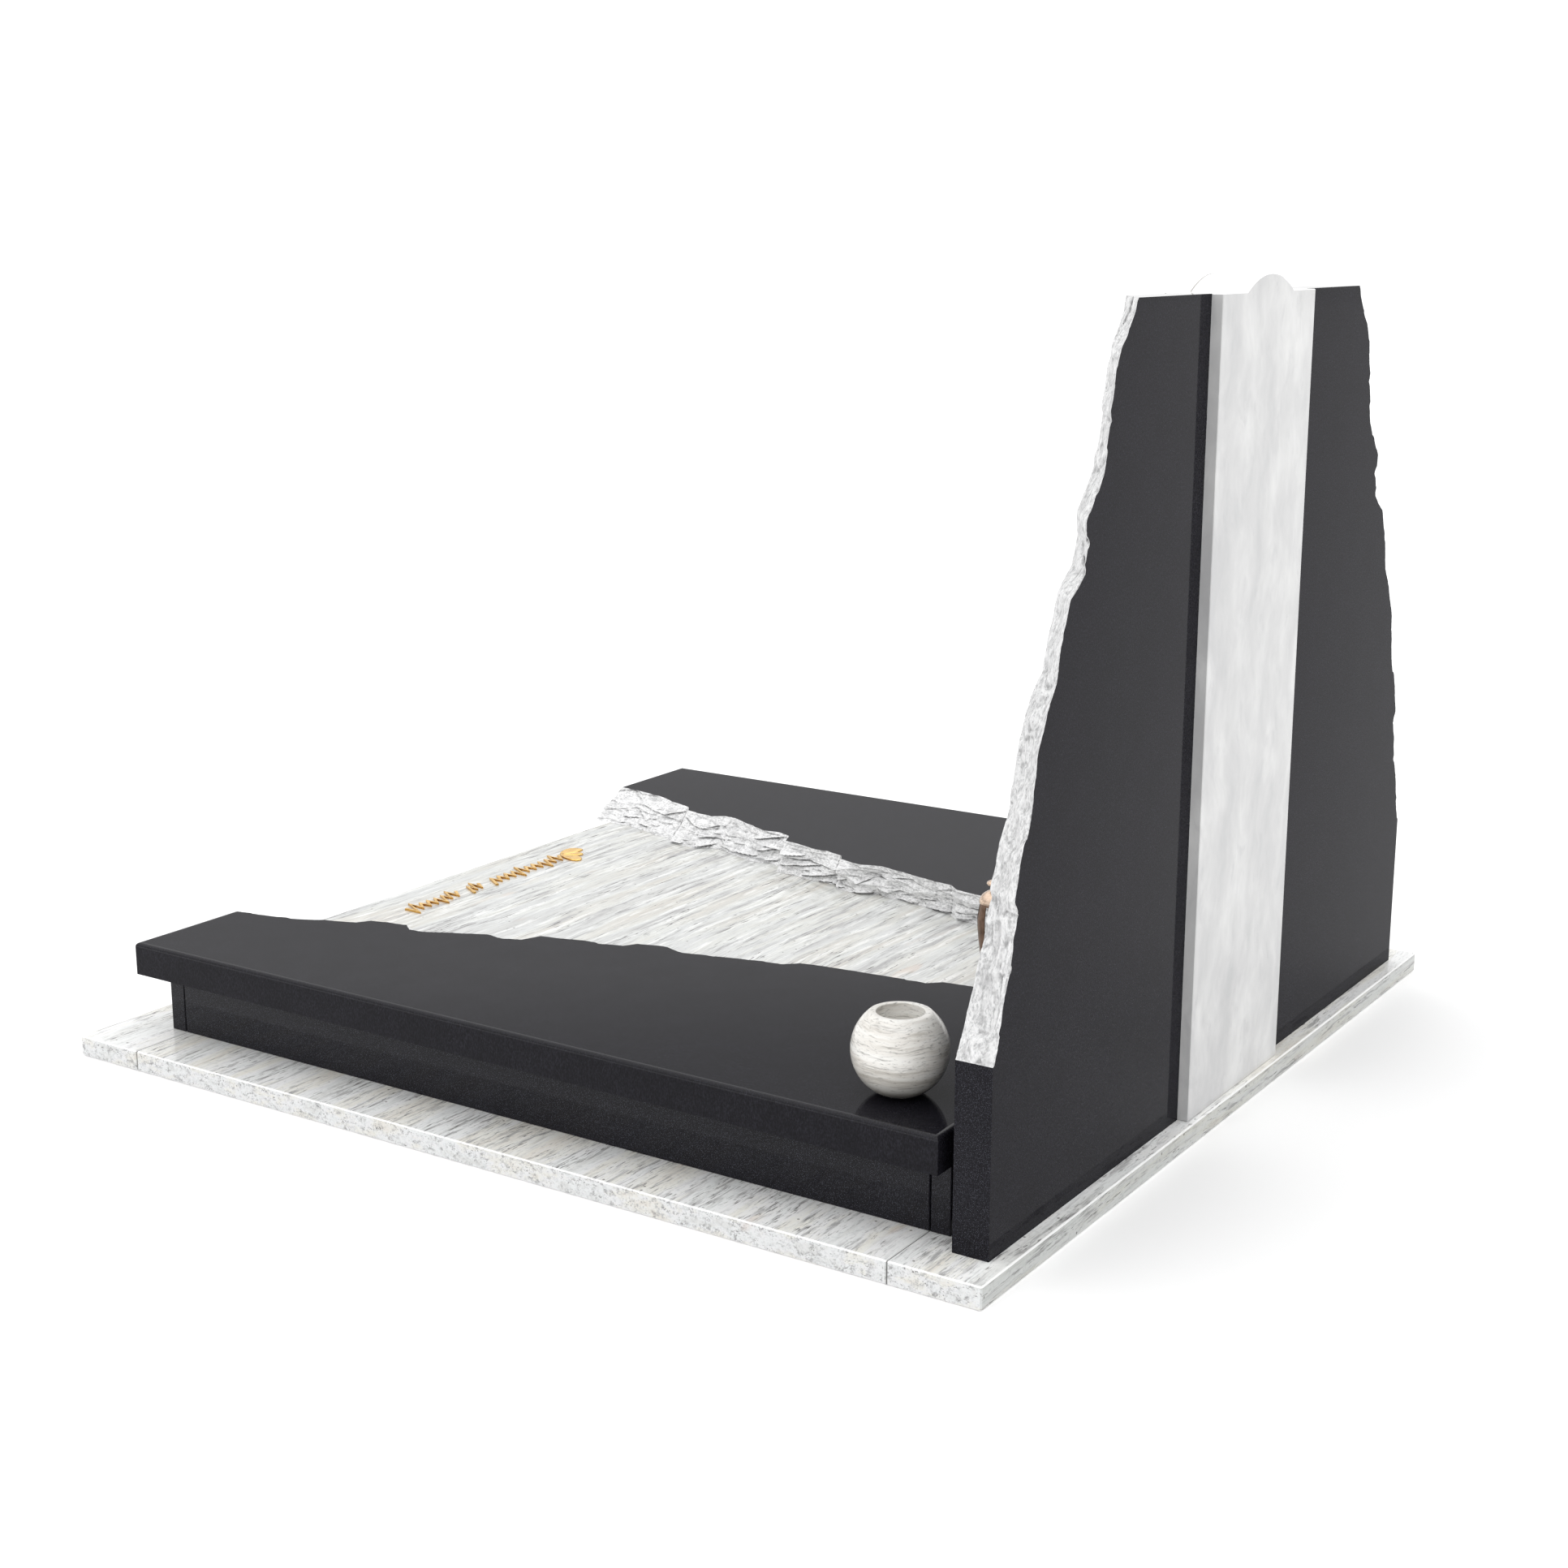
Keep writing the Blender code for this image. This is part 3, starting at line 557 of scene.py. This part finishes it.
def pitched(breaks, along, share, across, seed, layers):
    """How far the broken face stands out: the solids' own breaks and flakes, and finer ones over them."""
    flake = noise.voronoi(Vector((along / CHIP_LONG, across / CHIP_TALL, seed)))[0][0]
    deep = ARRIS_SHARE + (1 - ARRIS_SHARE) * math.sin(math.pi * share)
    out = between(breaks, along) + CHIP_DEEP * deep * (min(flake, 1.0) ** 2 - FLAKE_LEVEL)
    shallow = ARRIS_FINE + (1 - ARRIS_FINE) * math.sin(math.pi * share)
    warp = noise.noise_vector(Vector((along / WARP_LONG, across / WARP_TALL, seed + 5)))
    for number, layer in enumerate(layers):
        bent = (along + WARP_REACH * layer[0] * warp.x, across + WARP_REACH * layer[1] * warp.y)
        out += shallow * facets(*bent, layer, seed + 3 + 4 * number)
    size, height = GRAIN
    return out + height * noise.fractal(Vector((along / size, across / size, seed)), 0.8, 2.0, 3)


def build(name, points, faces, kinds, materials, sharp, flat=(), shades=None):
    """A mesh piece from point and face lists.

    kinds is each face's material, and sharp the crease angle in degrees. The faces numbered in flat are
    shaded flat, and shades is how deep in a hollow each point lies.
    """
    mesh = bpy.data.meshes.new(name)
    mesh.from_pydata(points, [], faces)
    for material in materials:
        mesh.materials.append(material)
    mesh.polygons.foreach_set("material_index", kinds)
    shape = bmesh.new()
    shape.from_mesh(mesh)
    bmesh.ops.recalc_face_normals(shape, faces=shape.faces)
    shape.to_mesh(mesh)
    shape.free()
    mesh.shade_smooth()
    mesh.set_sharp_from_angle(angle=math.radians(sharp))
    for number in flat:
        mesh.polygons[number].use_smooth = False
    if shades is not None:
        mesh.attributes.new("hollow", "FLOAT", "POINT").data.foreach_set("value", shades)
    piece = bpy.data.objects.new(name, mesh)
    bpy.context.scene.collection.objects.link(piece)
    return piece


def loft(name, rings, shades, kind_of, flat_strips, materials):
    """Joins rings of equal length and closes both ends.

    kind_of(ring number, strip number) is a face's material, and shades the hollows of the last points of each
    ring.
    """
    count = len(rings[0])
    level = np.full((len(rings), count), 0.5)
    level[:, count - shades.shape[1] :] = shades
    points = [point for ring in rings for point in ring]
    faces = []
    kinds = []
    flat = []
    for row in range(len(rings) - 1):
        for i in range(count):
            j = (i + 1) % count
            a = row * count
            if i in flat_strips and ARRIS_STEPS < row < len(rings) - 2 - ARRIS_STEPS:
                flat.append(len(faces))
            faces.append((a + i, a + j, a + count + j, a + count + i))
            kinds.append(kind_of(row, i))
    faces.append(tuple(range(count)))
    faces.append(tuple(range(len(points) - count, len(points))))
    kinds += [0, 0]
    flat += [len(faces) - 2, len(faces) - 1]
    return build(name, points, faces, kinds, materials, SLAB_CREASE, flat, level.ravel())


def placed(piece, slot, *nodes):
    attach(piece, "root")
    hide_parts(*nodes)
    return piece


def eased(distance):
    """How far a rounded arris has dropped at a distance in from the edge."""
    if distance >= COVER_ARRIS:
        return 0.0
    return COVER_ARRIS - math.sqrt(COVER_ARRIS**2 - (COVER_ARRIS - distance) ** 2)


def cover_rows():
    """Places along the cover, close together where the arris rounds over."""
    close = [COVER_ARRIS * (1 - math.cos(math.pi / 2 * i / ARRIS_STEPS)) for i in range(ARRIS_STEPS)]
    step = FINE_STEP * 1
    count = round((cover_head_y - cover_foot_y - 2 * COVER_ARRIS) / step)
    start = cover_foot_y + COVER_ARRIS
    middle = [start + (cover_head_y - cover_foot_y - 2 * COVER_ARRIS) * i / count for i in range(count + 1)]
    return [cover_foot_y + d for d in close] + middle + [cover_head_y - d for d in reversed(close)]


def cover_rings(rows):
    """Rings of the right-hand cover slab from its foot to its head, and the hollows of their rock."""
    rings = []
    depths = []
    for y in cover_rows():
        share = (y - cover_foot_y) / (cover_head_y - cover_foot_y)
        drop = eased(min(y - cover_foot_y, cover_head_y - y))
        half_top = bezier(share, COVER_FOOT_HALF, COVER_FOOT_PULL, COVER_HEAD_PULL, COVER_HEAD_HALF)
        slope = COVER_SLOPE * max(0.0, 1 - share / COVER_SLOPE_END)
        ring = [(cover_x, y, cover_low)]
        for i in range(ARRIS_STEPS + 1):
            turn = math.pi / 2 * i / ARRIS_STEPS
            x = cover_x - COVER_ARRIS * (1 - math.cos(turn))
            z = cover_top - COVER_ARRIS * (1 - math.sin(turn))
            ring.append((x, y, min(z, cover_top - drop)))
        top = cover_top - drop
        ring.append((cover_x - COVER_ARRIS - FINE_STEP, y, top))
        along = y - cover_foot_y
        outs = []
        for row in range(rows + 1):
            down = row / rows
            out = pitched(COVER_BREAKS, along, down, down * (cover_top - cover_low), COVER_SEED, COVER_LAYERS)
            outs.append(out + ledges(along, down))
            ring.append((half_top - slope * down - outs[-1], y, top - down * (top - cover_low)))
        rings.append(ring)
        depths.append(outs)
    return rings, hollows(depths)


def stone_rings(rows):
    """Rings of the right-hand headstone slab from its foot to its top, and the hollows of their rock."""
    plain_top = stone_low + STONE_PLAIN_TALL
    step = FINE_STEP * 1
    steps = round((stone_top - plain_top) / step)
    heights = [stone_low, plain_top - JOINT]
    heights += [plain_top + (stone_top - plain_top) * i / steps for i in range(steps + 1)]
    thick = stone_back_y - stone_front_y
    rings = []
    depths = []
    for number, z in enumerate(heights):
        share = max(0.0, (z - plain_top) / (stone_top - plain_top))
        half = stone_x - bezier(share, 0.0, STONE_PULL_IN, STONE_TOP_PULL, STONE_TOP_IN)
        bevel = bezier(share, 0.0, STONE_BEVEL_PULL, STONE_BEVEL_TOP_PULL, STONE_BEVEL_TOP)
        ring = [(stone_inner_x, stone_front_y, z), (stone_inner_x, stone_back_y, z)]
        outs = []
        for row in range(rows + 1):
            over = row / rows
            flat = half - bevel * over
            x = flat
            if number > 1:
                out = pitched(STONE_BREAKS, z - plain_top, over, over * thick, STONE_SEED, STONE_LAYERS)
                x = min(stone_x, flat + out)
            outs.append(x - flat)
            ring.append((x, stone_back_y - over * thick, z))
        rings.append(ring)
        depths.append(outs)
    return rings, hollows(depths)


def mirrored(rings):
    return [[(-x, y, z) for x, y, z in ring] for ring in rings]


def make_slabs():
    rows = COVER_ROWS // 1
    first = ARRIS_STEPS + 3
    rings, shades = cover_rings(rows)
    last = len(rings) - 1 - ARRIS_STEPS

    def cover_kind(row, strip):
        if first <= strip < first + rows:
            return 1
        if 1 <= strip <= ARRIS_STEPS or (strip == first - 1 and not ARRIS_STEPS <= row < last):
            return 2
        return 3 if strip == 0 else 0

    stones = (BLACK, ROCK_COVER, BLACK_ARRIS, BLACK_SIDE)
    for side, made in (("right", rings), ("left", mirrored(rings))):
        piece = loft(f"cover_{side}_slab", made, shades, cover_kind, (0, first - 1, first + rows), stones)
        placed(piece, "black_granite", f"cover_{side}")
    rows = STONE_ROWS // 1
    rings, shades = stone_rings(rows)

    def stone_kind(row, strip):
        if 2 <= strip < 2 + rows:
            return 1 if row > 0 else 2
        return 0

    for side, made, stone in (("right", rings, BLACK), ("left", mirrored(rings), BLACK_FAR)):
        stones = (stone, ROCK_STONE, BLACK_SIDE)
        piece = loft(f"headstone_{side}_slab", made, shades, stone_kind, (0, 1, 2 + rows), stones)
        placed(piece, "black_granite", f"headstone_{side}")


def turned(name, profile, place, materials, inner_from=None):
    """Turns an outline of (radius, height) points about a vertical line.

    A radius of 0 closes that end. Strips from the one numbered inner_from on take the second material.
    """
    points = []
    rings = []
    for radius, height in profile:
        if radius == 0:
            rings.append([len(points)])
            points.append((place[0], place[1], place[2] + height))
            continue
        rings.append(list(range(len(points), len(points) + ROUND_SIDES)))
        for i in range(ROUND_SIDES):
            turn = 2 * math.pi * i / ROUND_SIDES
            across = place[0] + radius * math.cos(turn)
            points.append((across, place[1] + radius * math.sin(turn), place[2] + height))
    faces = []
    kinds = []
    for number, (low, high) in enumerate(zip(rings, rings[1:])):
        for i in range(ROUND_SIDES):
            j = (i + 1) % ROUND_SIDES
            quad = [low[i % len(low)], low[j % len(low)], high[j % len(high)], high[i % len(high)]]
            faces.append(tuple(dict.fromkeys(quad)))
            kinds.append(int(inner_from is not None and number >= inner_from))
    return build(name, points, faces, kinds, materials, ROUND_CREASE)


def arc(centre, radius, start, stop, points):
    """(across, up) points on an arc between two angles in degrees."""
    made = []
    for i in range(points + 1):
        turn = math.radians(start + (stop - start) * i / points)
        made.append((centre[0] + radius * math.cos(turn), centre[1] + radius * math.sin(turn)))
    return made


def make_vase():
    low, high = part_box("vase")
    place = ((low.x + high.x) / 2, (low.y + high.y) / 2, low.z)
    middle = math.sqrt(VASE_RADIUS**2 - VASE_FOOT_RADIUS**2)
    start = -math.degrees(math.acos(VASE_FOOT_RADIUS / VASE_RADIUS))
    stop = math.degrees(math.acos(VASE_LIP_RADIUS / VASE_RADIUS))
    lip = middle + VASE_RADIUS * math.sin(math.radians(stop))
    ease = VASE_LIP_EASE
    profile = [(0, 0), *arc((0, middle), VASE_RADIUS, start, stop - VASE_LIP_TURN, VASE_STEPS)]
    across, down = VASE_LIP_SOFT
    profile += [(VASE_LIP_RADIUS - across, lip - down), (VASE_LIP_RADIUS - VASE_LIP_FLAT, lip)]
    profile += arc((VASE_BORE_RADIUS + ease, lip - ease), ease, 90, 180, 4)
    bottom = VASE_BORE_RADIUS / 2
    profile.append((VASE_BORE_RADIUS, VASE_FLOOR + bottom))
    for i in range(1, VASE_FLOOR_STEPS):
        turn = math.pi / 2 * i / VASE_FLOOR_STEPS
        profile.append((VASE_BORE_RADIUS * math.cos(turn), VASE_FLOOR + bottom * (1 - math.sin(turn))))
    profile.append((0, VASE_FLOOR))
    placed(turned("vase_ball", profile, place, (BALL,)), "pale_granite", "vase")


def make_lantern():
    low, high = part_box("lantern_body")
    place = ((low.x + high.x) / 2, (low.y + high.y) / 2, low.z)
    belly = LANTERN_TALL * LANTERN_BELLY
    outside = [(LANTERN_FOOT_RADIUS - LANTERN_EASE, 0), (LANTERN_FOOT_RADIUS, LANTERN_EASE)]
    for i in range(1, LANTERN_STEPS + 1):
        share = i / LANTERN_STEPS
        swell = math.sin(share * math.pi / 2) ** LANTERN_SWELL
        radius = LANTERN_FOOT_RADIUS + (LANTERN_RADIUS - LANTERN_FOOT_RADIUS) * swell
        outside.append((radius, LANTERN_WALL + (belly - LANTERN_WALL) * share))
    outside.append((LANTERN_RIM_RADIUS, LANTERN_TALL))
    inside = [(radius - LANTERN_WALL, height) for radius, height in reversed(outside[2:])]
    inside.append((LANTERN_FOOT_RADIUS - LANTERN_WALL, LANTERN_WALL * 2))
    profile = [(0, 0), *outside, *inside, (0, LANTERN_WALL * 2)]
    # The pot's inside takes the near-black bronze of painted shade
    body = turned("lantern_pot", profile, place, (BRONZE, INSIDE_PAINTED_SHADE), inner_from=len(outside) + 1)
    for i in range(SLOT_COUNT // 2):
        shape = bmesh.new()
        bmesh.ops.create_cube(shape, size=1.0)
        size = Matrix.Diagonal((LANTERN_RADIUS * 3, SLOT_WIDTH, SLOT_HIGH - SLOT_LOW, 1))
        turn = Matrix.Rotation(SLOT_TURN + math.pi * i / (SLOT_COUNT // 2), 4, "Z")
        shift = Matrix.Translation((place[0], place[1], place[2] + (SLOT_HIGH + SLOT_LOW) / 2))
        bmesh.ops.transform(shape, matrix=shift @ turn @ size, verts=shape.verts)
        mesh = bpy.data.meshes.new("slot")
        shape.to_mesh(mesh)
        shape.free()
        cutter = bpy.data.objects.new("slot", mesh)
        bpy.context.scene.collection.objects.link(cutter)
        cut = body.modifiers.new("slot", "BOOLEAN")
        cut.object = cutter
        bpy.context.view_layer.update()
        result = bpy.data.meshes.new_from_object(body.evaluated_get(bpy.context.evaluated_depsgraph_get()))
        body.modifiers.clear()
        body.data = result
        bpy.data.objects.remove(cutter)
    body.data.shade_smooth()
    body.data.set_sharp_from_angle(angle=math.radians(ROUND_CREASE))
    placed(body, "bronze", "lantern_body")
    make_lid()


def make_lid():
    low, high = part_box("lantern_lid")
    lip = LANTERN_WALL - LID_SKIRT
    place = ((low.x + high.x) / 2, (low.y + high.y) / 2, low.z + lip)
    seat = LANTERN_RIM_RADIUS - LANTERN_WALL - JOINT
    profile = [(seat, 0), (LID_RADIUS - LID_EASE, 0), (LID_RADIUS, LID_EASE), (LID_RADIUS, LID_SKIRT)]
    for i in range(1, LID_STEPS - 1):
        turn = math.pi / 2 * i / LID_STEPS
        profile.append((LID_RADIUS * math.cos(turn), LID_SKIRT + LID_RISE * math.sin(turn)))
    top = LID_SKIRT + LID_RISE
    profile += [(KNOB_NECK, top), (KNOB_NECK, top + KNOB_NECK_TALL)]
    middle = top + KNOB_NECK_TALL + KNOB_HALF_TALL
    for i in range(1, LID_STEPS):
        turn = math.pi * (i / LID_STEPS - 0.5)
        if KNOB_RADIUS * math.cos(turn) > KNOB_NECK * KNOB_JOIN or turn > 0:
            profile.append((KNOB_RADIUS * math.cos(turn), middle + KNOB_HALF_TALL * math.sin(turn)))
    profile.append((0, middle + KNOB_HALF_TALL))
    under = []
    for i in range(LID_STEPS):
        turn = math.pi / 2 * i / LID_STEPS
        height = (LID_RISE - LANTERN_WALL) * math.sin(turn) - lip
        under.append((seat * math.cos(turn), height))
    profile = [(0, top - 2 * LANTERN_WALL), *reversed(under), *profile]
    placed(turned("lantern_cap", profile, place, (COPPER,)), "bronze", "lantern_lid")


def make_sprig():
    """The gilt sprig with rounded leaves that part in grooves, on the outline of its solid."""
    low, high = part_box("inscription_sprig")
    turns = []
    for (start, near), (stop, far) in zip(SPRIG_OUTLINE, SPRIG_OUTLINE[1:]):
        for i in range(SPRIG_FINE):
            share = i / SPRIG_FINE
            turns.append((start + (stop - start) * share, near + (far - near) * share))
    turns.append(SPRIG_OUTLINE[-1])
    stem_x = low.x - min(distance * math.cos(math.radians(turn)) for turn, distance in SPRIG_OUTLINE)
    stem_y = low.y - min(distance * math.sin(math.radians(turn)) for turn, distance in SPRIG_OUTLINE)
    rise = high.z - low.z
    rings = []
    for share, height, grooved in SPRIG_RINGS:
        ring = []
        for turn, distance in turns:
            groove = sum(math.exp(-(((turn - notch) / SPRIG_GROOVE) ** 2)) for notch in SPRIG_NOTCHES)
            across = stem_x + share * distance * math.cos(math.radians(turn))
            along = stem_y + share * distance * math.sin(math.radians(turn))
            ring.append((across, along, low.z + rise * height * (1 - grooved * min(1.0, groove))))
        rings.append(ring)
    count = len(turns)
    points = [point for ring in rings for point in ring]
    faces = []
    for row in range(len(rings) - 1):
        for i in range(count):
            j = (i + 1) % count
            faces.append((row * count + i, row * count + j, (row + 1) * count + j, (row + 1) * count + i))
    faces.append(tuple(range(count)))
    faces.append(tuple(range(len(points) - count, len(points))))
    leaves = build("sprig_leaves", points, faces, [0] * len(faces), (GILT,), SPRIG_CREASE)
    placed(leaves, "gilt_brass", "inscription_sprig")


def soften(names, width, segments):
    """Rounds the sharp edges of CAD nodes that keep their shape."""
    for name in names:
        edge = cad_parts[name].modifiers.new("soft", "BEVEL")
        edge.width = width
        edge.segments = segments
        edge.limit_method = "ANGLE"
        edge.angle_limit = math.radians(SOFT_ANGLE)


def dress(names, material):
    """Gives CAD nodes that keep their shape a finished material."""
    for name in names:
        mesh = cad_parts[name].data
        mesh.materials.clear()
        mesh.materials.append(material)


def make_world():
    """A white studio that is a little darker above the horizon, where the polished tops mirror it."""
    world = bpy.data.worlds.new("studio")
    bpy.context.scene.world = world
    world.use_nodes = True
    tree = world.node_tree
    direction = tree.nodes.new("ShaderNodeTexCoord").outputs["Generated"]
    split = tree.nodes.new("ShaderNodeSeparateXYZ")
    tree.links.new(direction, split.inputs[0])
    ramp = tree.nodes.new("ShaderNodeValToRGB")
    marks = ramp.color_ramp.elements
    while len(marks) < len(SKY):
        marks.new(0.5)
    brightest = max(value for _, value in SKY)
    for mark, (height, value) in zip(marks, SKY):
        mark.position = height
        share = value / brightest
        mark.color = (share, share, share, 1.0)
    tree.links.new(split.outputs["Z"], ramp.inputs[0])
    background = tree.nodes["Background"]
    tree.links.new(ramp.outputs[0], background.inputs["Color"])
    background.inputs["Strength"].default_value = brightest


def make_floor():
    mesh = bpy.data.meshes.new("floor")
    h = FLOOR_HALF
    corners = [(x, y, -FLOOR_DROP) for x, y in ((-h, -h), (h, -h), (h, h), (-h, h))]
    mesh.from_pydata(corners, [], [(0, 1, 2, 3)])
    s = Surface("floor")
    tone = s.noise(s.place, 0.6, 2.0)
    base = s.ramp(tone, (0.3, 0.98), (0.7, 0.995))
    s.finish(base, 0.9, IOR=1.3, Emission_Color=(1, 1, 1, 1), Emission_Strength=FLOOR_GLOW)
    mesh.materials.append(s.material)
    floor = bpy.data.objects.new("floor", mesh)
    bpy.context.scene.collection.objects.link(floor)


def make_camera():
    data = bpy.data.cameras.new("camera")
    data.lens = CAMERA_LENS
    data.sensor_width = SENSOR
    data.clip_end = VIEW_FAR
    camera = bpy.data.objects.new("camera", data)
    bpy.context.scene.collection.objects.link(camera)
    yaw = math.radians(CAMERA_YAW)
    pitch = math.radians(CAMERA_PITCH)
    ahead = Vector((math.cos(yaw) * math.cos(pitch), math.sin(yaw) * math.cos(pitch), -math.sin(pitch)))
    camera.location = CAMERA_PLACE
    camera.rotation_euler = ahead.to_track_quat("-Z", "Y").to_euler()
    bpy.context.scene.camera = camera


make_camera()
make_world()
make_floor()
make_slabs()
make_vase()
make_lantern()
make_sprig()
plinths = [f"plinth_{side}" for side in ("front", "back", "left", "right")]
walls = [f"wall_{side}" for side in ("front", "back", "left", "right")]
words = [f"inscription_{word}" for word in ("long", "short", "end")]
dress(plinths, PALE)
dress(["cover_middle"], PALE_SLAB)
dress(walls, BLACK_WALL)
dress(["headstone_center"], WHITE)
dress(words, GILT)
soften(words, STROKE_ROUND, STROKE_SEGMENTS)

view = bpy.context.scene.view_settings
view.view_transform = "Standard"
view.look = "None"
